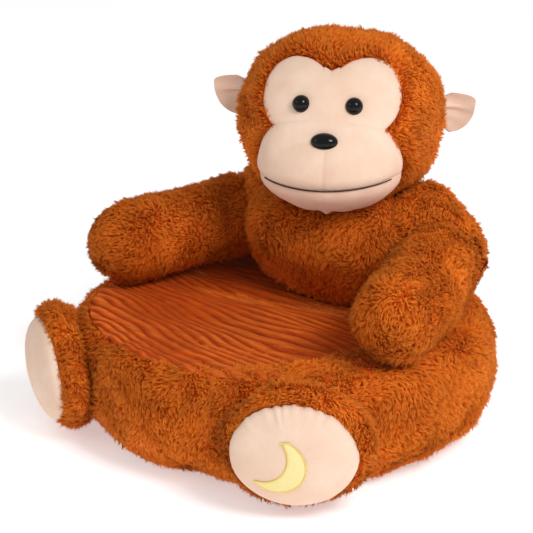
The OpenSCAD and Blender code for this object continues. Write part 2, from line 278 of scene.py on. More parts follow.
def finish_piece(obj, material, body, slot, *nodes, padded=None):
    """The material and body of a piece, and the CAD nodes that it stands for; slot is not used."""
    obj.data.materials.clear()
    obj.data.materials.append(material)
    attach(obj, body)
    if nodes:
        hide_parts(*nodes)
    return obj


# ---- materials
def new_material(name, roughness, sheen=0.0, sheen_tint=(1, 1, 1, 1), specular=0.3):
    mat = bpy.data.materials.new(name)
    mat.use_nodes = True
    bsdf = mat.node_tree.nodes["Principled BSDF"]
    for name, value in (("Roughness", roughness), ("Sheen Weight", sheen), ("Sheen Roughness", 0.5),
                        ("Sheen Tint", sheen_tint), ("Specular IOR Level", specular)):
        bsdf.inputs[name].default_value = value
    return mat, mat.node_tree, bsdf


def noise_node(tree, scale, detail=4.0, stretch=(1, 1, 1)):
    """Noise in the piece's own coordinates."""
    coord = tree.nodes.new("ShaderNodeTexCoord")
    mapping = tree.nodes.new("ShaderNodeMapping")
    mapping.inputs["Scale"].default_value = stretch
    tex = tree.nodes.new("ShaderNodeTexNoise")
    tex.inputs["Scale"].default_value = scale
    tex.inputs["Detail"].default_value = detail
    tex.inputs["Roughness"].default_value = 0.55
    tree.links.new(coord.outputs["Object"], mapping.inputs["Vector"])
    tree.links.new(mapping.outputs["Vector"], tex.inputs["Vector"])
    return tex.outputs["Fac"]


def ramp_node(tree, value, stops):
    """The colour that a value has on a ramp of (position, colour) stops."""
    ramp = tree.nodes.new("ShaderNodeValToRGB")
    elements = ramp.color_ramp.elements
    elements[0].position, elements[0].color = stops[0]
    elements[1].position, elements[1].color = stops[-1]
    for place, colour in stops[1:-1]:
        elements.new(place).color = colour
    tree.links.new(value, ramp.inputs["Fac"])
    return ramp.outputs["Color"]


def mottled(tree, scale, detail, low, high, stretch=(1, 1, 1)):
    """Noise between two (position, colour) stops: its colour, and the noise itself."""
    noise = noise_node(tree, scale, detail, stretch)
    return ramp_node(tree, noise, [low, high]), noise


def painted(tree, name):
    """The red and the green part of a colour painted on the piece."""
    attribute = tree.nodes.new("ShaderNodeAttribute")
    attribute.attribute_name = name
    split = tree.nodes.new("ShaderNodeSeparateColor")
    tree.links.new(attribute.outputs["Color"], split.inputs["Color"])
    return split.outputs["Red"], split.outputs["Green"]


def colour_by(tree, bsdf, *colours):
    """The base colour is the product of the colours."""
    product = colours[0]
    for colour in colours[1:]:
        mix = tree.nodes.new("ShaderNodeMix")
        mix.data_type = "RGBA"
        mix.blend_type = "MULTIPLY"
        mix.inputs["Factor"].default_value = 1.0
        tree.links.new(product, mix.inputs[6])
        tree.links.new(colour, mix.inputs[7])
        product = mix.outputs[2]
    tree.links.new(product, bsdf.inputs["Base Color"])


def bump_chain(tree, bsdf, layers):
    """Bump from (height, distance in metres, strength) layers, one on the other."""
    last = None
    for height, distance, strength in layers:
        bump = tree.nodes.new("ShaderNodeBump")
        bump.inputs["Distance"].default_value = distance
        bump.inputs["Strength"].default_value = strength
        tree.links.new(height, bump.inputs["Height"])
        if last:
            tree.links.new(last.outputs["Normal"], bump.inputs["Normal"])
        last = bump
    tree.links.new(last.outputs["Normal"], bsdf.inputs["Normal"])


def rgb(r, g, b):
    """Linear colour from 0-255 display values."""
    def lin(v):
        v /= 255.0
        return v / 12.92 if v <= 0.04045 else ((v + 0.055) / 1.055) ** 2.4
    return (lin(r), lin(g), lin(b), 1.0)


def fur_material(name, root, mid, tip, sheen):
    """Hairs painted darker at the root as shade deep in the pile and lighter at the tip as painted
    highlight, in tufts and patches of different tone.
    """
    mat, tree, bsdf = new_material(name, 0.75, sheen, rgb(255, 170, 90), specular=0.12)
    height, tuft = painted(tree, "strand")
    along = ramp_node(tree, height, [(0.0, root), (0.45, mid), (1.0, tip)])
    tone = ramp_node(tree, tuft, [(0.0, (0.74, 0.68, 0.6, 1)), (0.55, (1, 1, 1, 1)),
                                  (1.0, (1.1, 1.14, 1.2, 1))])
    shade, _ = mottled(tree, 14.0, 2.0, (0.3, (0.82, 0.8, 0.78, 1)), (0.7, (1.1, 1.1, 1.1, 1)))
    colour_by(tree, bsdf, along, tone, shade)
    return mat


def skin_material(name, dark, light):
    """The knitted backing that shows between tufts, painted darker than the hairs as shade in the gaps."""
    mat, tree, bsdf = new_material(name, 0.9, 0.2, rgb(230, 150, 90), specular=0.1)
    colour, _ = mottled(tree, 160.0, 3.0, (0.3, dark), (0.7, light))
    colour_by(tree, bsdf, colour)
    bump_chain(tree, bsdf, [(noise_node(tree, 500.0), 0.001, 0.6)])
    return mat


def pile_material(name, light, dark):
    """Short smooth pile: nearly even colour with a fine nap."""
    mat, tree, bsdf = new_material(name, 0.8, 0.15, rgb(255, 240, 228), specular=0.15)
    cloud, _ = mottled(tree, 22.0, 3.0, (0.3, dark), (0.7, light))
    speck, grain = mottled(tree, 900.0, 2.0, (0.25, (0.93, 0.92, 0.91, 1)), (0.6, (1, 1, 1, 1)))
    colour_by(tree, bsdf, cloud, speck)
    bump_chain(tree, bsdf, [(noise_node(tree, 60.0, 2.0), 0.002, 0.25), (grain, 0.0006, 0.5)])
    return mat


def gloss_material(name, colour, roughness):
    """Moulded plastic."""
    mat, tree, bsdf = new_material(name, roughness, specular=0.2)
    lighter = tuple(c * 1.4 for c in colour[:3]) + (1,)
    tone, grain = mottled(tree, 350.0, 2.0, (0.2, colour), (0.8, lighter))
    colour_by(tree, bsdf, tone)
    bump_chain(tree, bsdf, [(grain, 0.0002, 0.05)])
    return mat


def thread_material(name, dark, light):
    """Twisted sewing thread."""
    mat, tree, bsdf = new_material(name, 0.55, 0.3, light, specular=0.3)
    tone, grain = mottled(tree, 1500.0, 2.0, (0.3, dark), (0.7, light), stretch=(1, 1, 0.2))
    colour_by(tree, bsdf, tone)
    bump_chain(tree, bsdf, [(grain, 0.0003, 0.6)])
    return mat


# the root colour is painted shade deep in the pile, and the tip colour a painted highlight
FUR = fur_material("fur", rgb(172, 60, 4), rgb(226, 102, 15), rgb(247, 146, 50), 0.1)
# the backing's dark orange is painted shade in the gaps between tufts
SKIN = skin_material("fur_backing", rgb(160, 56, 4), rgb(206, 86, 14))
PILE = pile_material("short_pile", rgb(235, 206, 185), rgb(227, 193, 169))
# a darker copy of the face pile: painted shade on the chin, which faces down
CHIN_SHADED_PILE = pile_material("short_pile_chin", rgb(230, 194, 172), rgb(219, 179, 156))
BLACK = gloss_material("black_gloss", (0.004, 0.004, 0.004, 1), 0.1)
BLACK_THREAD = thread_material("black_thread", rgb(22, 18, 18), rgb(60, 52, 50))
WASHER = gloss_material("washer_plastic", rgb(225, 224, 216), 0.5)
BANANA = pile_material("banana_cloth", rgb(240, 227, 166), rgb(233, 216, 148))
BANANA_THREAD = thread_material("banana_thread", rgb(222, 192, 96), rgb(242, 218, 128))


# ---- stuffed skins
def stuffed_skin(name, node, voxel, relax, seed, lumps=1.5 * MM):
    """A soft skin over a stuffing: remeshed, swollen by cloth pressure, relaxed and a little lumpy."""
    obj = link(name, frame["nodes"][node].data.copy())
    mod = obj.modifiers.new("remesh", "REMESH")
    mod.mode = "VOXEL"
    mod.voxel_size = voxel
    apply_modifiers(obj)
    rest = coords(obj.data)
    inflate(obj, rest, 5 * MM)
    mod = obj.modifiers.new("relax", "SMOOTH")
    mod.factor = 0.5
    mod.iterations = relax
    apply_modifiers(obj)
    co, no = coords(obj.data), normals(obj.data)
    co += no * (waves(co, 0.05, seed, 3) * lumps)[:, None]
    set_coords(obj.data, co)
    return smooth(obj)


def inflate(obj, rest, cap):
    """Twenty steps of cloth under pressure, with how far a point may move capped."""
    scene = bpy.context.scene
    cloth = obj.modifiers.new("cloth", "CLOTH")
    cloth.settings.quality = 4
    cloth.settings.mass = 0.2
    cloth.settings.tension_stiffness = 12
    cloth.settings.compression_stiffness = 12
    cloth.settings.bending_stiffness = 0.4
    cloth.settings.use_pressure = True
    cloth.settings.uniform_pressure_force = 4.0
    cloth.settings.effector_weights.gravity = 0.0
    for step in range(1, 21):
        scene.frame_set(step)
    apply_modifiers(obj)
    scene.frame_set(1)
    co = coords(obj.data)
    if len(co) != len(rest):
        return
    move = co - rest
    far = np.linalg.norm(move, axis=1, keepdims=True)
    co = rest + move * np.minimum(1.0, cap / np.maximum(far, 1e-9))
    set_coords(obj.data, co)


def scatter(mesh, spacing, seed, keep=None):
    """Points on a mesh about spacing apart: places, soft normals."""
    gen = np.random.default_rng(seed)
    co, no, tri = coords(mesh), normals(mesh), triangles(mesh)
    a, b, c = co[tri[:, 0]], co[tri[:, 1]], co[tri[:, 2]]
    area = np.linalg.norm(np.cross(b - a, c - a), axis=1) / 2
    count = int(area.sum() / spacing ** 2)
    edges = np.cumsum(area)
    along = (np.arange(count) + gen.uniform(0, 1, count)) / count
    pick = np.minimum(np.searchsorted(edges, along * edges[-1]), len(tri) - 1)
    u, v = gen.uniform(0, 1, count), gen.uniform(0, 1, count)
    flip = u + v > 1
    u[flip], v[flip] = 1 - u[flip], 1 - v[flip]
    w = 1 - u - v
    t = tri[pick]
    p = co[t[:, 0]] * w[:, None] + co[t[:, 1]] * u[:, None] + co[t[:, 2]] * v[:, None]
    n = unit(no[t[:, 0]] * w[:, None] + no[t[:, 1]] * u[:, None] + no[t[:, 2]] * v[:, None])
    if keep is not None:
        mask = keep(p, n)
        p, n = p[mask], n[mask]
    return p, n


def fur(name, mesh, body, nodes, flow, keep=None, seed=1, parts=None, lean_at=None):
    """Tufts of closed tapered hairs on a mesh. flow(p, n) is the way the pile lies, and keep(p, n)
    says where it grows. parts(p) numbers the piece that each hair belongs to, so that no piece
    is too big. lean_at(p) scales how far the hairs lean over."""
    gen = np.random.default_rng(seed)
    p, n = scatter(mesh, HAIR_SPACING, seed, keep)
    centres, centre_n = scatter(mesh, TUFT_SPACING, seed + 1, keep)
    tree = KDTree(len(centres))
    for i, c in enumerate(centres):
        tree.insert(c, i)
    tree.balance()
    own = np.fromiter((tree.find(q)[1] for q in p), dtype=np.int64, count=len(p))

    lie = flow(centres, centre_n) + TUFT_SPREAD * flow_noise(centres, 0.035, seed + 2)
    lie += 0.35 * TUFT_SPREAD * gen.normal(size=centres.shape)
    lie -= centre_n * np.sum(lie * centre_n, axis=1, keepdims=True)
    lie = unit(lie)
    steep = HAIR_LEAN * np.clip(1 + 0.25 * gen.normal(size=len(centres)), 0.4, 1.6)
    steep += 0.25 * waves(centres, 0.03, seed + 5)
    if lean_at is not None:
        steep = steep * lean_at(centres)
    steep = np.clip(steep, 0.15 if lean_at is None else -0.6, 1.38)
    long = HAIR_LENGTH * np.clip(1 + 0.18 * gen.normal(size=len(centres)), 0.6, 1.4)
    rise = centre_n * np.cos(steep)[:, None] + lie * np.sin(steep)[:, None]
    tip_c = centres + rise * long[:, None]
    tone_c = 0.5 + 0.13 * gen.normal(size=len(centres)) + 0.12 * waves(centres, 0.02, seed + 6)
    tone_c = np.clip(tone_c, 0, 1)

    m = len(p)
    own_len = long[own] * np.clip(1 + 0.15 * gen.normal(size=m), 0.55, 1.35)
    sideways = (lie[own] + 0.45 * gen.normal(size=(m, 3))) * np.sin(steep[own])[:, None]
    own_dir = unit(n * np.cos(steep[own])[:, None] + sideways)
    own_tip = p + own_dir * own_len[:, None]
    pull = np.clip(TUFT_GATHER + 0.18 * gen.normal(size=m), 0.1, 0.97)[:, None]
    tip = own_tip * (1 - pull) + (tip_c[own] + 0.5 * MM * gen.normal(size=(m, 3))) * pull
    root = p - n * 0.8 * MM
    mid = root * 0.5 + tip * 0.5 + n * (own_len * 0.16)[:, None]

    axis = unit(tip - root)
    side = unit(np.cross(axis, n + 1e-4))
    other = np.cross(side, axis)
    thick = HAIR_WIDTH * np.clip(1 + 0.25 * gen.normal(size=m), 0.5, 1.6)
    turn = gen.uniform(0, 2 * math.pi, m)
    rings = []
    for centre, scale in ((root, 1.0), (mid, 0.85)):
        for k in range(HAIR_SIDES):
            a = turn + 2 * math.pi * k / HAIR_SIDES
            around = side * np.cos(a)[:, None] + other * np.sin(a)[:, None] * 0.7
            rings.append(centre + around * (thick * scale)[:, None])
    co = np.stack(rings + [tip], axis=1)
    co[:, :, 2] = np.maximum(co[:, :, 2], 0.6 * MM)
    # how far up its hair each point lies: the fur material paints shade at the root and highlight at the
    # tip
    along = np.tile([0.0, 0.0, 0.0, 0.55, 0.55, 0.55, 1.0], (m, 1))
    tone = np.clip(tone_c[own] + 0.1 * gen.normal(size=m), 0, 1)
    hair = []
    for k in range(HAIR_SIDES):
        j = (k + 1) % HAIR_SIDES
        hair += [(k, 3 + j, j), (k, 3 + k, 3 + j), (3 + k, HAIR_POINTS - 1, 3 + j)]
    hair.append((0, 1, 2))
    hair = np.array(hair)

    group = parts(p) if parts is not None else np.zeros(m, dtype=int)
    for g in np.unique(group):
        pick = np.flatnonzero(group == g)
        cnt = len(pick)
        piece_name = name if group.max() == 0 else f"{name}_{g + 1}"
        verts = co[pick].reshape(-1, 3)
        faces = (hair[None] + HAIR_POINTS * np.arange(cnt)[:, None, None]).reshape(-1, 3)
        obj = smooth(mesh_of(piece_name, verts, faces))
        data = np.ones((cnt * HAIR_POINTS, 4), dtype=np.float32)
        data[:, 0] = along[pick].ravel()
        data[:, 1] = np.repeat(tone[pick], HAIR_POINTS)
        paint(obj, "strand", data)
        skin_n = np.repeat(n[pick], HAIR_POINTS, axis=0)
        hair_way = np.repeat(axis[pick], HAIR_POINTS, axis=0)
        soft = unit(0.4 * normals(obj.data) + 0.8 * skin_n + 0.25 * hair_way)
        obj.data.normals_split_custom_set_from_vertices(soft.tolist())
        cell_uv(obj, cnt, hair)
        finish_piece(obj, FUR, body, "fur", *nodes)
        nodes = ()


def cell_uv(obj, count, hair):
    """Every hair gets its own small cell in the map: along the hair runs up the cell."""
    side = math.ceil(math.sqrt(count))
    cell = 1.0 / side
    col, row = np.arange(count) % side, np.arange(count) // side
    u_of = np.array([0.2, 0.5, 0.8, 0.25, 0.5, 0.75, 0.5])
    v_of = np.array([0.15, 0.15, 0.15, 0.5, 0.5, 0.5, 0.85])
    u = (col[:, None, None] + u_of[hair][None]) * cell
    v = (row[:, None, None] + v_of[hair][None]) * cell
    uv = np.stack([u, v], axis=-1).reshape(-1, 2).astype(np.float32)
    layer = obj.data.uv_layers.new(name="OFBake")
    layer.data.foreach_set("uv", uv.ravel())


def along_vector(v):
    v = np.array(v, dtype=float)
    return lambda p, n: np.tile(v, (len(p), 1))


# ---- places of the feet
def in_foot(p, side, grow=0.0):
    q = foot_local(p, side)
    return np.sum((q / (FOOT_R + grow)) ** 2, axis=1) < 1


def foot_centre(side):
    """The foot's middle: where a sole drawn round the origin has to go to fill its node's box."""
    a, b = np.meshgrid(np.linspace(0, math.pi / 2, 60), np.linspace(0, 2 * math.pi, 240))
    a, b = a.ravel(), b.ravel()
    q = np.stack([np.cos(a) * np.cos(b), -np.sin(a), np.cos(a) * np.sin(b)], axis=1) * SOLE_R
    q = (q - [0, SOLE_F, 0]) @ foot_axes(side).T
    lo, hi = box("foot_left_sole" if side > 0 else "foot_right_sole")
    return (lo + hi) / 2 - (q.min(axis=0) + q.max(axis=0)) / 2


def foot_axes(side):
    c, s = math.cos(FOOT_DIP), math.sin(FOOT_DIP)
    tilt = np.array([[1.0, 0, 0], [0, c, -s], [0, s, c]])
    return turn_z(side * FOOT_OUT) @ tilt


def foot_local(p, side):
    return (p - foot_c[side]) @ foot_axes(side)


def foot_world(q, side):
    return q @ foot_axes(side).T + foot_c[side]


foot_c = {1: foot_centre(1), -1: foot_centre(-1)}


# ---- base
def side_bulge(p):
    """Outward push of the base and seat where they are stuffed fuller, over the right foot."""
    off = np.angle(np.exp(1j * (np.arctan2(p[:, 1], p[:, 0]) - BULGE_WAY)))
    r = np.hypot(p[:, 0], p[:, 1])
    push = BULGE * np.exp(-(off / BULGE_SPREAD) ** 2) * np.clip(r / SEAT_R, 0, 1) ** 4
    return unit(p * [1, 1, 0] + [0, 1e-9, 0]) * push[:, None]


def past_ribs(p):
    """How far a point is outside the round part of the seat that the pile leaves bare."""
    return np.hypot(p[:, 0] - RIBS_C[0], p[:, 1] - RIBS_C[1]) - RIBS_R


base_skin = stuffed_skin("base_skin", "base_stuffing", voxel=6 * MM, relax=6, seed=11, lumps=2 * MM)
co = coords(base_skin.data)
r = np.hypot(co[:, 0], co[:, 1])
past = past_ribs(co)
# the skin drops away under the seat panel and rises to the rim where the pile covers the panel's edge
in_seat = fade_in(np.minimum(SEAT_R - 2 * MM - r, -past), 0, 8 * MM)
on_top = (co[:, 2] > RIM_H / 2) & (r < SEAT_R + 4 * MM)
co[:, 2] -= 14 * MM * in_seat * on_top
rise = fade_in(past, 0, 10 * MM) * on_top
co[:, 2] += np.maximum(RIM_H - 5 * MM - co[:, 2], 0) * rise
co += side_bulge(co) * np.clip(co[:, 2:3] / (60 * MM), 0, 1)
co[:, 2] = np.maximum(co[:, 2], 1.5 * MM)
set_coords(base_skin.data, co)
finish_piece(base_skin, SKIN, "seat", "fur", "base_stuffing", padded=0.7)


def base_keep(p, n):
    r = np.hypot(p[:, 0], p[:, 1])
    over = np.linalg.norm(side_bulge(p), axis=1)
    on_seat = (r < SEAT_R - 1 * MM + over) & (past_ribs(p) < 0) & (p[:, 2] > RIM_H / 2)
    under = (n[:, 2] < -0.6) & (r < FLOOR_R + 4 * MM)
    return ~on_seat & ~under & ~in_foot(p, 1, -24 * MM) & ~in_foot(p, -1, -24 * MM)


def base_flow(p, n):
    out = unit(p * [1, 1, 0])
    around = np.stack([-out[:, 1], out[:, 0], np.zeros(len(p))], axis=1)
    return -UP + 0.35 * around + 0.3 * out * (n[:, 2:3] > 0.6)


def sector(p):
    """Which of the equal slices round the base a point is in."""
    turn = (np.arctan2(p[:, 1], p[:, 0]) + math.pi) / (2 * math.pi)
    return np.floor(turn * BASE_SLICES).astype(int) % BASE_SLICES


fur("base_fur", base_skin.data, "seat", ("base_side_cover",), base_flow, base_keep, seed=21,
    parts=sector)

# ---- torso
SHOULDER_PUFF, SIDE_TUCK, LAP_HOLLOW = 13 * MM, 9 * MM, 30 * MM
torso_skin = stuffed_skin("torso_skin", "torso_stuffing", voxel=5 * MM, relax=4, seed=12)
co = coords(torso_skin.data)
wide = np.abs(co[:, 0])
yoke = fade_in(co[:, 2], 190 * MM, 50 * MM) * fade_in(wide, 0, 70 * MM) * fade_out(wide, 142 * MM, 36 * MM)
outer = fade_in(wide, 165 * MM, 30 * MM)
co += normals(torso_skin.data) * (SHOULDER_PUFF * yoke - SIDE_TUCK * outer)[:, None]
low = fade_out(co[:, 2], 205 * MM, 70 * MM) * fade_out(co[:, 1], 60 * MM, 40 * MM)
co[:, 1] += LAP_HOLLOW * low * fade_out(np.abs(co[:, 0]), 120 * MM, 30 * MM)
set_coords(torso_skin.data, co)
finish_piece(torso_skin, SKIN, "seat", "fur", "torso_stuffing", padded=0.8)


def torso_keep(p, n):
    q = (p - head_c) / (HEAD_R[[0, 0, 2]] + 1 * MM)
    return (np.sum(q ** 2, axis=1) > 1) & (p[:, 2] > RIM_H - 14 * MM)


fur("torso_fur", torso_skin.data, "seat", ("torso_cover",), along_vector((0, -0.15, -1)), torso_keep,
    seed=31, parts=lambda p: (p[:, 0] > 0) + 2 * (p[:, 2] > 175 * MM))

# ---- arms
ARM_PUFF = 2.5 * MM
for side, word in ((1, "left"), (-1, "right")):
    body = f"arm_{word}"
    skin = stuffed_skin(f"arm_{word}_skin", f"arm_{word}_stuffing", voxel=5 * MM, relax=4, seed=13 + side)
    set_coords(skin.data, coords(skin.data) + normals(skin.data) * ARM_PUFF)
    finish_piece(skin, SKIN, body, "fur", f"arm_{word}_stuffing", padded=0.8)
    arm_way = np.array([side * 0.31, -0.95, -0.35])
    fur(f"arm_{word}_fur", skin.data, body, (f"arm_{word}_cover",), along_vector(arm_way), seed=41 + side,
        parts=lambda p: (p[:, 1] > 0).astype(int))

# ---- head
def fuller(q):
    """How much the head's upper corners stand out of a plain oval."""
    most = (6.5 + 2.0 * np.sign(q[:, 0])) * MM
    return 4 * (q[:, 0] / HEAD_RX) ** 2 * np.clip(q[:, 2] / HEAD_RZ + 0.1, 0, 1) ** 2 * most


def heart_edge(x, z):
    """Signed distance-like value to the face patch's outline, below zero inside."""
    rise = np.where(z < LOBE_Z, 1.22, 1.0) * (z - LOBE_Z)
    d = np.hypot(np.abs(x) - LOBE_X, rise) - LOBE_R
    notch = np.maximum(z - NOTCH_Z - 0.42 * np.abs(x), np.maximum(np.abs(x) - 9 * MM, LOBE_Z - z))
    d = np.minimum(d, notch)
    low = np.maximum(np.abs(x) - LOBE_X, np.maximum(z - LOBE_Z, LOBE_Z - LOBE_R - z))
    return np.minimum(d, low)


head_skin = stuffed_skin("head_skin", "head_stuffing", voxel=6 * MM, relax=6, seed=15)
q = to_head(coords(head_skin.data))
# the skin stands back under the face patch
under = np.clip(-heart_edge(q[:, 0], q[:, 2]) / (6 * MM), 0, 1) * (q[:, 1] < 0)
swell = fuller(q) - 5 * MM * under
set_coords(head_skin.data, coords(head_skin.data) + normals(head_skin.data) * swell[:, None])
finish_piece(head_skin, SKIN, "head", "fur", "head_stuffing", padded=0.9)


def muzzle_reach(q, radii):
    """How far points are from the muzzle's middle: 1 is on its surface."""
    m = (q - MUZZLE_C) / radii
    m[:, 2] /= np.where(m[:, 2] > 0, 1.22, 1.0)
    return np.sqrt(np.sum(m ** 2, axis=1))


def head_keep(p, n):
    q = to_head(p)
    on_face = (q[:, 1] < 0) & (heart_edge(q[:, 0], q[:, 2]) < -1.5 * MM)
    return ~on_face & (muzzle_reach(q, MUZZLE_R - 2 * MM) > 1)


def head_lean(p):
    """The pile hangs a little over the edge of the face and stands up round it."""
    q = to_head(p)
    near = np.where(q[:, 1] < 0, heart_edge(q[:, 0], q[:, 2]), 1.0)
    round_muzzle = (muzzle_reach(q, MUZZLE_R) - 1) * 70 * MM
    return np.clip(-0.45 + np.minimum(near, round_muzzle) / (12 * MM), -0.5, 1.0)


def head_flow(p, n):
    q = to_head(p)
    away = q * [1.0, 0.0, 1.0] - [0.0, 0.0, LOBE_Z * 0.6]
    away = unit(away) * np.array([1.0, 1.0, 0.6])
    back = np.tile([0.0, 0.6, -0.5], (len(p), 1))
    front = np.clip(-q[:, 1:2] / HEAD_RY, 0, 1)
    return (away * front + back) @ head_turn.T


def head_parts(p):
    q = to_head(p)
    return (q[:, 0] > 0).astype(int) + 2 * (q[:, 1] > 0.01).astype(int)


fur("head_fur", head_skin.data, "head", ("head_cover",), head_flow, head_keep, seed=51,
    parts=head_parts, lean_at=head_lean)


def spindle_faces(rings, spokes):
    """The faces of a closed body: an end point, rings of points one after the other, an end point."""
    faces = []
    last = 1 + (rings - 1) * spokes
    for j in range(spokes):
        b = (j + 1) % spokes
        faces.append((0, 1 + b, 1 + j))
        for k in range(rings - 1):
            o = 1 + k * spokes
            faces.append((o + j, o + b, o + spokes + b, o + spokes + j))
        faces.append((last + j, last + b, last + spokes))
    return faces


def disc_points(rings, spokes):
    """Reach from 0 to 1 and direction of a disc's points: the middle, then ring after ring."""
    reach = np.repeat(np.arange(1, rings + 1) / rings, spokes)
    way = np.tile(np.linspace(0, 2 * math.pi, spokes, endpoint=False), rings)
    return np.concatenate([[0], reach]), np.concatenate([[0], way])


def disc_faces(rings, spokes):
    """The faces of one side of a disc: quads between the rings, and triangles round the middle."""
    faces = []
    for k in range(rings - 1):
        for j in range(spokes):
            a, b = 1 + k * spokes + j, 1 + k * spokes + (j + 1) % spokes
            faces.append((a, a + spokes, b + spokes, b))
    for j in range(spokes):
        faces.append((0, 1 + j, 1 + (j + 1) % spokes))
    return faces


def two_sided(name, front, back, rings, spokes):
    """A closed piece from a front and a back disc whose outer rings are sewn together."""
    n = len(front)
    one = disc_faces(rings, spokes)
    faces = one + [tuple(n + i for i in reversed(f)) for f in one]
    first = 1 + (rings - 1) * spokes
    for j in range(spokes):
        a, b = first + j, first + (j + 1) % spokes
        faces.append((a, n + a, n + b, b))
    return outward(mesh_of(name, np.vstack([front, back]), faces))


def heart_reach(angle):
    """How far the heart outline is from its middle in a direction."""
    t = np.linspace(0, 0.11, 441)[None, :]
    x, z = t * np.cos(angle)[:, None], LOBE_Z * 0.8 + t * np.sin(angle)[:, None]
    inside = heart_edge(x, z) < 0
    return np.max(np.where(inside, t, 0), axis=1)


def face_patch():
    rings, spokes = 44, 220
    edge, way = disc_points(rings, spokes)
    reach = edge * heart_reach(way)
    x, z = reach * np.cos(way), LOBE_Z * 0.8 + reach * np.sin(way)
    y = -HEAD_RY * np.sqrt(np.maximum(0.02, 1 - (x / HEAD_RX) ** 2 - (z / HEAD_RZ) ** 2))
    q = np.stack([x, y, z], axis=1)
    out = unit(q / HEAD_R ** 2)
    puff = 1.4 * MM * (1 - edge ** 8) - 2.5 * MM * edge ** 14 + 0.5 * MM * waves(q, 0.03, 61)
    for sx in (-1, 1):  # the cloth dips round each eye
        d = np.hypot(x - sx * EYE_X, z - EYE_Z)
        puff -= 1.6 * MM * np.exp(-(d / (13 * MM)) ** 2)
    puff += fuller(q)
    front = q + out * puff[:, None]
    back = q + out * (np.minimum(puff, 0) - 3.0 * MM)[:, None]
    obj = two_sided("face_patch_cloth", from_head(front), from_head(back), rings, spokes)
    finish_piece(obj, PILE, "head", "short_pile", "face_patch")


face_patch()

# ---- muzzle
MUZZLE_CLOTH = 2.4 * MM
MOUTH_Z = -MOUTH_DROP + MOUTH_CURVE  # the mouth curve's middle above the muzzle's middle


def mouth_height(x):
    """Height of the mouth line over the muzzle's middle: a shallow smile, a little higher on the left."""
    return MOUTH_Z - np.sqrt(MOUTH_CURVE ** 2 - x ** 2) + MOUTH_TILT * x


def muzzle_panel(name, upper, material, slot, *nodes):
    """One panel of the muzzle: rows run from the mouth line to the top or the bottom."""
    cols, rows = 200, 70
    theta = np.linspace(-1.0, 1.0, cols) * math.radians(128)
    # latitude of the mouth on the unit ball for each longitude
    phi = np.zeros(cols)
    for _ in range(30):
        x = MUZZLE_R[0] * np.cos(phi) * np.sin(theta)
        phi = np.arcsin(np.clip(mouth_height(x) / MUZZLE_R[2], -1, 1))
    s = np.linspace(0, 1, rows)[:, None]
    end = math.pi / 2 * 0.995 * (1 if upper else -1)
    lat = phi[None, :] * (1 - s) + end * s
    lon = np.broadcast_to(theta, lat.shape)
    d = np.stack([np.cos(lat) * np.sin(lon), -np.cos(lat) * np.cos(lon), np.sin(lat)], axis=-1)
    d = d.reshape(-1, 3)
    q = d * MUZZLE_R
    out = unit(d / MUZZLE_R)
    gap = np.abs(q[:, 2] - mouth_height(q[:, 0]))
    fade = np.clip((q[:, 1] * -1) / (20 * MM), 0, 1)
    puff = 0.6 * MM * waves(q, 0.04, 71)
    puff -= 3.2 * MM * np.exp(-(gap / (5 * MM))) * (0.4 + 0.6 * fade)
    puff += 1.0 * MM * np.exp(-((gap - 11 * MM) / (8 * MM)) ** 2)
    if upper:  # the cloth runs up to its seam with the face, and is drawn in from the nose to the mouth
        round_it = np.clip((np.hypot(d[:, 0], d[:, 2]) - 0.74) / 0.22, 0, 1)
        round_it = round_it ** 2 * (3 - 2 * round_it)
        high = np.clip(d[:, 2] * 1.4, 0, 1)
        q[:, 2] += MUZZLE_RISE * round_it * high
        q[:, 1] -= 7 * MM * round_it * high * (1 - 0.6 * d[:, 0] ** 2)
        corner = 4 * d[:, 0] ** 2 * np.maximum(d[:, 2], 0) ** 2
        q[:, 0] += 2 * MM * np.sign(d[:, 0]) * corner
        q[:, 2] += 2 * MM * corner
        below_nose = np.clip((36 * MM - q[:, 2]) / (6 * MM), 0, 1)
        puff -= 1.5 * MM * np.exp(-(np.abs(q[:, 0]) / (1.3 * MM))) * below_nose * fade
        puff -= 1.2 * MM * np.exp(-(q[:, 0] / (9 * MM)) ** 2) * below_nose * fade
    else:  # small gathers towards the seam under the chin
        wave = np.cos(theta * 9)[None, :] * fade_in(s, 0.35, 0.3) * fade_out(s, 0.95, 0.2)
        puff += 0.7 * MM * wave.ravel()
        nub = np.hypot(q[:, 0], (q[:, 1] + 24 * MM) * 0.8)
        puff += 2.6 * MM * np.exp(-(nub / (4.5 * MM)) ** 2)
    outer = from_head(q + out * puff[:, None] + MUZZLE_C)
    inner = from_head(q + out * (puff - MUZZLE_CLOTH)[:, None] + MUZZLE_C)
    obj = sheet(name, outer, inner, rows, cols)
    finish_piece(obj, material, "head", slot, *nodes, padded=0.9)


muzzle_panel("muzzle_upper_cloth", True, PILE, "short_pile", "muzzle_upper_panel", "muzzle_stuffing")
# the chin cloth takes the face pile painted darker as shade
muzzle_panel("chin_cloth", False, CHIN_SHADED_PILE, "short_pile_chin", "chin_panel")


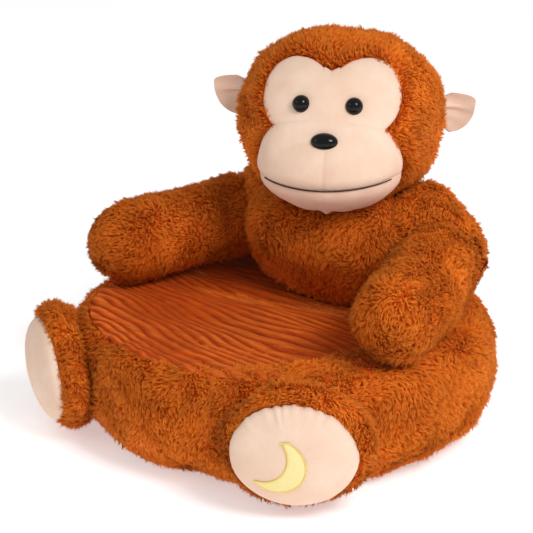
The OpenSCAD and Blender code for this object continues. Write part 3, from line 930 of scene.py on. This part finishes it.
def beads(name, points, ups, half_len, radius, tilt, material, body, slot, *nodes, rings=4, spokes=8):
    """A run of stitches along points, each a small closed bead that lies on the cloth. ups are the
    directions out of the cloth, and tilt is how far each stitch turns across the run."""
    points, ups = np.array(points), np.array(ups)
    way = unit(np.gradient(points, axis=0))
    verts, faces = [], []
    t = np.linspace(-1, 1, rings + 2)
    r = np.sqrt(np.maximum(0, 1 - t ** 2)) * radius
    one = spindle_faces(rings, spokes)
    for i in range(len(points)):
        across = np.cross(way[i], ups[i])
        ahead = way[i] * math.cos(tilt) + across * math.sin(tilt)
        side = np.cross(ahead, ups[i])
        base = len(verts)
        verts.append(points[i] - ahead * half_len)
        for k in range(1, rings + 1):
            for j in range(spokes):
                a = 2 * math.pi * j / spokes
                verts.append(points[i] + ahead * half_len * t[k]
                             + (side * math.cos(a) + ups[i] * math.sin(a)) * r[k])
        verts.append(points[i] + ahead * half_len)
        faces += [tuple(base + f for f in face) for face in one]
    obj = smooth(mesh_of(name, np.array(verts), faces))
    return finish_piece(obj, material, body, slot, *nodes)


def mouth_line():
    """The black thread of the mouth, on the seam between the two panels."""
    x = np.linspace(-76 * MM, 79 * MM, 62)
    z = mouth_height(x)
    y = -MUZZLE_R[1] * np.sqrt(np.maximum(0.01, 1 - (x / MUZZLE_R[0]) ** 2 - (z / MUZZLE_R[2]) ** 2))
    q = np.stack([x, y, z], axis=1)
    out = unit(q / MUZZLE_R ** 2)
    place = from_head(q + MUZZLE_C - out * 1.6 * MM)
    beads("mouth_stitches", place, out @ head_turn.T, 2.0 * MM, 0.95 * MM, 0.12, BLACK_THREAD, "head",
          "black_thread", "mouth_thread")


mouth_line()


# ---- eyes and nose
# (radius, height) from the top of a button's dome to the back of its flange
BUTTON_SHAPE = ((0.0, 1.0), (0.18, 0.985), (0.36, 0.935), (0.54, 0.845), (0.7, 0.72), (0.83, 0.565),
                (0.92, 0.4), (0.975, 0.22), (1.0, 0.06), (1.0, -0.05), (0.96, -0.12), (0.6, -0.12),
                (0.0, -0.12))


def button(name, node, radii, dome):
    """A domed plastic button with a rounded flange, on the place and direction of its CAD node."""
    if node == "nose":
        yaw = 0.0
        pitch = math.atan2(NOSE_Z / MUZZLE_R[2] ** 2, NOSE_Y / MUZZLE_R[1] ** 2)
    else:
        side = 1 if node == "eye_left" else -1
        ahead = HEAD_RY * math.sqrt(1 - (EYE_X / HEAD_RX) ** 2 - (EYE_Z / HEAD_RZ) ** 2)
        yaw = side * math.atan2(EYE_X / HEAD_RX ** 2, ahead / HEAD_RY ** 2)
        pitch = math.atan2(EYE_Z / HEAD_RZ ** 2, ahead / HEAD_RY ** 2)
    front = np.array([math.sin(yaw) * math.cos(pitch), -math.cos(yaw) * math.cos(pitch), math.sin(pitch)])
    right = -unit(np.cross(front, UP))
    top = np.cross(front, right)
    if top[2] < 0:
        top = -top
    # the middle of the dome is right behind the foremost part of the node
    q = to_head(coords(frame["nodes"][node].data))
    reach = q @ front
    tip = reach.max()
    mid = q[reach > tip - dome * 0.6].mean(axis=0)
    mid = mid + front * (tip - mid @ front - dome)
    spokes = 48
    verts = [mid + front * dome * BUTTON_SHAPE[0][1]]
    for r, h in BUTTON_SHAPE[1:-1]:
        for j in range(spokes):
            a = 2 * math.pi * j / spokes
            across = right * radii[0] * r * math.cos(a) + top * radii[1] * r * math.sin(a)
            verts.append(mid + front * dome * h + across)
    verts.append(mid + front * dome * BUTTON_SHAPE[-1][1])
    faces = spindle_faces(len(BUTTON_SHAPE) - 2, spokes)
    obj = outward(mesh_of(name, from_head(np.array(verts)), faces))
    sub = obj.modifiers.new("round", "SUBSURF")
    sub.levels = sub.render_levels = 1
    finish_piece(smooth(apply_modifiers(obj)), BLACK, "head", "black_plastic", node)


for word in ("left", "right"):
    button(f"eye_{word}_button", f"eye_{word}", (EYE_R, EYE_R), EYE_R)
button("nose_button", "nose", (16.5 * MM, 11 * MM), 10 * MM)
for node in ("nose_washer", "eye_washers"):
    frame["nodes"][node].data.materials.clear()
    frame["nodes"][node].data.materials.append(WASHER)

# ---- ears
def ear(side, word):
    """One ear's cloth: a half oval on its root line, cupped in front, with a fold that runs in."""
    root = np.array(joints[f"ear_{word}_fold"]["pos_m"])
    cols, rows = 40, 60
    # u runs out from the root line and v runs up along it
    u, v = np.meshgrid(np.linspace(0, 1, cols), np.linspace(-1, 1, rows) * 0.999, indexing="ij")
    u, v = u.ravel(), v.ravel()
    above, below = fade_in(v, 0.6, 0.4), fade_out(v, 0.6, 1.6)
    out = (EAR_W + 1 * MM) * np.sqrt(1 - above ** 2.6) * np.sqrt(1 - below ** 2.2)
    x = side * (u * out - 9 * MM * (1 - u))
    z = EAR_H * v * (0.72 + 0.28 * u)
    edge = np.clip(1 - u ** 4, 0, 1) * np.clip(1 - np.abs(v) ** 6, 0, 1)
    cup = -5.0 * MM * np.sin(math.pi * u) * np.clip(1 - v ** 2, 0, 1)
    fold_line = 0.1 + 0.35 * (1 - u)
    fold = np.exp(-((v - fold_line) / 0.13) ** 2) * np.clip(1 - u / 0.85, 0, 1)
    bow = -3.0 * MM * u ** 2
    front = -2.2 * MM * edge - cup - 4.0 * MM * fold + 0.4 * MM * np.sin(9 * v + 3 * u) + bow
    rear = 2.6 * MM * edge - cup * 0.95 + bow
    ahead, behind = [np.stack([x, y, z], axis=1) @ head_turn.T + root for y in (front, rear)]
    obj = sheet(f"ear_{word}_cloth", ahead, behind, cols, rows, weld=1e-5)
    mod = obj.modifiers.new("relax", "SMOOTH")
    mod.iterations = 3
    finish_piece(smooth(apply_modifiers(obj)), PILE, f"ear_{word}", "short_pile",
                 f"ear_{word}_front", f"ear_{word}_back", padded=0.2)


ear(1, "left")
ear(-1, "right")

# ---- feet
def sole_height(x, z):
    """How far the sole stands in front of its seam."""
    return SOLE_R[1] * np.sqrt(np.maximum(0, 1 - (x / SOLE_R[0]) ** 2 - (z / SOLE_R[2]) ** 2))


def on_sole(x, z, lift):
    """Places lifted off the sole's surface in the foot's own directions, and the way out of it."""
    y = sole_height(x, z)
    q = np.stack([x, -SOLE_F - y, z], axis=1)
    out = unit(np.stack([x / SOLE_R[0] ** 2, -(y + 1e-5) / SOLE_R[1] ** 2, z / SOLE_R[2] ** 2], axis=1))
    return q + out * lift, out


def foot_keep(side):
    def keep(p, n):
        q = foot_local(p, side)
        ahead = -q[:, 1]
        rim = (q[:, 0] / SOLE_R[0]) ** 2 + (q[:, 2] / SOLE_R[2]) ** 2
        sole_side = (ahead > SOLE_F - 3 * MM) & (rim < 1.0)
        inside = np.hypot(p[:, 0], p[:, 1]) < BASE_R - 20 * MM
        return ~sole_side & ~inside
    return keep


def foot_flow(side):
    def flow(p, n):
        ahead = np.tile(foot_axes(side) @ np.array([0.0, -1.0, 0.0]), (len(p), 1))
        return ahead * 0.8 - 0.5 * UP
    return flow


def sole(side, word):
    rings, spokes = 46, 240
    reach, ang = disc_points(rings, spokes)
    run = np.sin(reach * math.pi / 2)
    q, out = on_sole(run * SOLE_R[0] * np.cos(ang), run * SOLE_R[2] * np.sin(ang), 0)
    # the cloth is gathered where the top of the sole is sewn on
    rim_at = np.stack([np.cos(ang), np.sin(ang), 0 * ang], axis=1)
    upper = np.clip(np.sin(ang) * 1.5 - 0.3, 0, 1) * (0.45 + 0.55 * (side > 0)) + 0.12
    uneven = np.clip(0.55 + 0.7 * waves(rim_at, 0.35, 83 + side), 0, 1.3)
    reach_in = np.clip((run - 0.7 + 0.1 * waves(rim_at, 0.2, 85)) / 0.28, 0, 1) ** 1.5
    folds = np.cos(ang * 30 + 3 * np.sin(ang * 3 + 1) + np.sin(ang * 11)) * reach_in * uneven
    puff = 0.95 * MM * folds * upper + 0.5 * MM * waves(q, 0.035, 81 + side)
    puff -= 1.5 * MM * np.clip((run - 0.93) / 0.07, 0, 1) ** 2
    front = q + out * puff[:, None]
    back = q + out * (puff - 2.5 * MM)[:, None]
    obj = two_sided(f"foot_{word}_sole_cloth", foot_world(front, side), foot_world(back, side),
                    rings, spokes)
    finish_piece(obj, PILE, "seat", "short_pile", f"foot_{word}_sole", padded=0.8)


for side, word in ((1, "left"), (-1, "right")):
    skin = stuffed_skin(f"foot_{word}_skin", f"foot_{word}_stuffing", voxel=5 * MM, relax=3, seed=16 + side)
    q = foot_local(coords(skin.data), side)
    out = unit(q * [1, 0, 1])
    # the skin stands out round the sole's seam, and stays 6 mm behind the sole inside it
    at = np.exp(-((-q[:, 1] - SOLE_F + 12 * MM) / (22 * MM)) ** 2)
    rim = np.hypot(q[:, 0] / SOLE_R[0], q[:, 2] / SOLE_R[2])
    q += out * (9 * MM * at * np.clip((rim - 0.95) / 0.1, 0, 1))[:, None]
    behind = 6 * MM - SOLE_F - sole_height(q[:, 0], q[:, 2])
    q[:, 1] = np.where(rim < 1.0, np.maximum(q[:, 1], behind), q[:, 1])
    co = foot_world(q, side)
    co[:, 2] = np.maximum(co[:, 2], 1.5 * MM)
    set_coords(skin.data, co)
    finish_piece(skin, SKIN, "seat", "fur", f"foot_{word}_stuffing", padded=0.8)
    fur(f"foot_{word}_fur", skin.data, "seat", (f"foot_{word}_cover",), foot_flow(side), foot_keep(side),
        seed=71 + side)
    sole(side, word)

# ---- banana on the left sole
BANANA_R, BANANA_W = 33 * MM, 23 * MM
BANANA_AT = np.array([-17.0, -4.0]) * MM
BANANA_SHIFT = np.array([-BANANA_W * 0.87, BANANA_W * 0.5])
STEM_HALF = 5.5 * MM


def banana_curves(count):
    """Points along the outer and the inner curve, tip to stem."""
    far = np.linalg.norm(BANANA_SHIFT)
    half = math.acos(far / 2 / BANANA_R)
    base = math.atan2(-BANANA_SHIFT[1], -BANANA_SHIFT[0])
    t = np.linspace(-1, 0.88, count)
    a = base + t * (math.pi - half)
    outer = BANANA_AT[None] + BANANA_R * np.stack([np.cos(a), np.sin(a)], axis=1)
    b = base + np.linspace(-1, 0.9, count) * half
    inner = (BANANA_AT + BANANA_SHIFT)[None] + BANANA_R * np.stack([np.cos(b), np.sin(b)], axis=1)
    return outer, inner


def banana():
    """The banana's cloth on the left sole, with satin stitches round it and across its stem."""
    count, across = 70, 14
    outer, inner = banana_curves(count)
    w = np.linspace(0, 1, across)[:, None, None]
    flat = (outer[None] * (1 - w) + inner[None] * w).reshape(-1, 2)
    puff = (0.5 * MM * np.sin(math.pi * w[:, :, 0]) * np.ones(count)).ravel()
    top, _ = on_sole(flat[:, 0], flat[:, 1], (0.9 * MM + puff)[:, None])
    low, _ = on_sole(flat[:, 0], flat[:, 1], -0.4 * MM)
    obj = sheet("banana_cloth", foot_world(top, 1), foot_world(low, 1), across, count)
    finish_piece(obj, BANANA, "seat", "banana_cloth", "banana_patch")

    outer, inner = banana_curves(150)
    along_bar = np.linspace(-STEM_HALF, STEM_HALF, 20)[:, None]
    bar = (outer[-1] + inner[-1]) / 2 + along_bar * np.array([0.99, 0.12])
    bar[:, 1] += 0.8 * MM
    stitch_run("banana_stitches", np.vstack([inner[::-1], outer]), 0.5 * MM, "banana_edge")
    stitch_run("banana_stem_stitches", bar, 0.6 * MM)


def stitch_run(name, line, half_width, *nodes):
    """Satin stitches across a line on the left sole."""
    run = np.concatenate([[0], np.cumsum(np.linalg.norm(np.diff(line, axis=0), axis=1))])
    even = np.arange(0, run[-1], 0.62 * MM)
    px, pz = np.interp(even, run, line[:, 0]), np.interp(even, run, line[:, 1])
    place, out = on_sole(px, pz, 1.0 * MM)
    beads(name, foot_world(place, 1), out @ foot_axes(1).T, half_width * 2.6, 0.42 * MM, 1.35,
          BANANA_THREAD, "seat", "banana_thread", *nodes, rings=3, spokes=6)


banana()


# ---- seat panel
def seat_material():
    mat, tree, bsdf = new_material("ribbed_plush", 0.8, 0.12, rgb(255, 140, 60), specular=0.12)
    rib_height_and_shade, _ = painted(tree, "rib_height_and_shade")
    # dark in the grooves as painted shade, light on the crests as painted highlight
    rib_shade_and_highlight = ramp_node(tree, rib_height_and_shade, [(0.0, rgb(84, 18, 0)), (0.34, rgb(166, 56, 5)),
                                  (0.8, rgb(196, 78, 14)), (1.0, rgb(218, 104, 34))])
    streak, nap = mottled(tree, 260.0, 4.0, (0.3, (0.72, 0.68, 0.64, 1)), (0.62, (1.1, 1.12, 1.15, 1)),
                          stretch=(0.16, 1.0, 1.0))
    shade, _ = mottled(tree, 9.0, 2.0, (0.3, (0.85, 0.83, 0.8, 1)), (0.7, (1.08, 1.08, 1.08, 1)))
    colour_by(tree, bsdf, rib_shade_and_highlight, streak, shade)
    bump_chain(tree, bsdf, [(nap, 0.002, 0.8), (noise_node(tree, 700.0, 3.0), 0.001, 0.7)])
    return mat


def seat_surface(x, y):
    """Height of the seat's top, and how far up the ribbing each point is, which the seat material paints as
    shade in the grooves and highlight on the crests.
    """
    r = np.hypot(x, y)
    low = seat_lo[2] + SEAT_T
    z = low + (seat_hi[2] - low) * (r / SEAT_R) ** 2
    p = np.stack([x, y, 0 * x], axis=1)
    stretch = p * [0.45, 1.0, 1.0]
    edge = np.clip((SEAT_R - r) / (45 * MM), 0, 1)
    z = z + 4.0 * MM * waves(stretch, 0.055, 91) * edge
    way = np.arctan2(y, x)
    gathers = np.cos(way * 40 + 2 * np.sin(way * 7)) * np.exp(-(SEAT_R - r) / (22 * MM))
    z = z + 1.8 * MM * gathers
    warp = 9 * MM * waves(stretch, 0.09, 92) + 2.5 * MM * waves(stretch, 0.03, 93)
    phase = (y + x * (0.1 - 0.9 * y) + warp) / RIB_PITCH
    rib_height_and_shade = np.abs(np.sin(math.pi * phase)) ** 0.55
    strong = np.clip(0.75 - 0.35 * waves(p, 0.12, 94) - y / 0.55, 0.35, 1.15)
    z = z + RIB_RISE * (rib_height_and_shade - 0.6) * strong
    z = z - 5.0 * MM * np.exp(-(SEAT_R - r) / (5 * MM))
    return z, rib_height_and_shade * strong + (1 - strong) * 0.55


def seat_cloth():
    n = 290
    g = np.linspace(-1, 1, n)
    u, v = np.meshgrid(g, g)
    u, v = u.ravel(), v.ravel()
    x = u * np.sqrt(1 - v ** 2 / 2) * (SEAT_R - 0.5 * MM)
    y = v * np.sqrt(1 - u ** 2 / 2) * (SEAT_R - 0.5 * MM)
    z, rib_height_and_shade = seat_surface(x, y)
    top = np.stack([x, y, z], axis=1)
    top += side_bulge(top)
    # the edge drops to one ring of points, and a flat fan closes the underside
    face, ring = grid_faces(n, n)
    low = top[ring] - [0, 0, SEAT_T]
    idx = n * n + np.arange(len(ring))
    wall = np.stack([ring, idx, np.roll(idx, -1), np.roll(ring, -1)], axis=1)
    mid = n * n + len(ring)
    fan = np.stack([idx, np.full(len(ring), mid), np.roll(idx, -1)], axis=1)
    verts = np.vstack([top, low, [[0, 0, seat_lo[2] + 0.5 * MM]]])
    obj = mesh_of("seat_cloth", verts, face.tolist() + wall.tolist() + fan.tolist())
    data = np.ones((len(verts), 4), dtype=np.float32)
    # the ribbing's height, which the material paints as shade in the grooves and highlight on the crests
    data[:len(rib_height_and_shade), 0] = rib_height_and_shade
    paint(obj, "rib_height_and_shade", data)
    smooth(obj)
    finish_piece(obj, seat_material(), "seat", "ribbed_plush", "seat_panel", padded=0.6)


seat_cloth()


# ---- bottom panel
def bottom_cloth():
    rings, spokes = 40, 240
    run, ang = disc_points(rings, spokes)
    x, y = run * FLOOR_R * np.cos(ang), run * FLOOR_R * np.sin(ang)
    pucker = 1.2 * MM * (1 + np.cos(ang * 60)) * fade_in(run, 0.9, 0.1)
    under = np.stack([x, y, pucker], axis=1)
    over = np.stack([x, y, pucker + 2.5 * MM], axis=1)
    obj = two_sided("bottom_cloth", under, over, rings, spokes)
    mat, tree, bsdf = new_material("bottom_lining", 0.85, 0.1, (1, 1, 1, 1), specular=0.2)
    coord = tree.nodes.new("ShaderNodeTexCoord")
    heights = []
    for axis in ("X", "Y"):
        wave = tree.nodes.new("ShaderNodeTexWave")
        wave.bands_direction = axis
        wave.inputs["Scale"].default_value = 260.0
        wave.inputs["Distortion"].default_value = 0.6
        tree.links.new(coord.outputs["Object"], wave.inputs["Vector"])
        heights.append(wave.outputs["Fac"])
    weave = tree.nodes.new("ShaderNodeMath")
    weave.operation = "MULTIPLY"
    tree.links.new(heights[0], weave.inputs[0])
    tree.links.new(heights[1], weave.inputs[1])
    threads = weave.outputs["Value"]
    colour_by(tree, bsdf, ramp_node(tree, threads, [(0.0, rgb(70, 40, 24)), (1.0, rgb(104, 62, 38))]))
    bump_chain(tree, bsdf, [(threads, 0.0005, 0.6)])
    finish_piece(obj, mat, "seat", "bottom_cloth", "base_bottom_panel")


bottom_cloth()

# ---- floor and light
corners = np.array([[-9, -9, 0], [9, -9, 0], [9, 9, 0], [-9, 9, 0]], dtype=float)
floor = mesh_of("floor", corners, [(0, 1, 2, 3)])
mat, tree, bsdf = new_material("floor", 0.9, specular=0.1)
bsdf.inputs["Base Color"].default_value = (0.95, 0.95, 0.95, 1)
floor.data.materials.append(mat)

bsdf.inputs["Emission Color"].default_value = (1, 1, 1, 1)
bsdf.inputs["Emission Strength"].default_value = 0.42
world = bpy.data.worlds.new("studio")
world.use_nodes = True
world.node_tree.nodes["Background"].inputs["Color"].default_value = (1.0, 1.0, 1.0, 1)
world.node_tree.nodes["Background"].inputs["Strength"].default_value = 0.5
bpy.context.scene.world = world


def area_light(name, place, size, power, aim=(0, 0, 0.2)):
    light = bpy.data.lights.new(name, "AREA")
    light.shape = "DISK"
    light.size = size
    light.energy = power
    obj = bpy.data.objects.new(name, light)
    bpy.context.collection.objects.link(obj)
    obj.location = place
    obj.rotation_euler = (Vector(aim) - Vector(place)).to_track_quat("-Z", "Y").to_euler()


area_light("key", (2.2, -0.5, 2.3), 1.3, 58)
area_light("fill", (-1.6, -2.4, 1.8), 1.6, 8)
bpy.context.scene.view_settings.view_transform = "Standard"
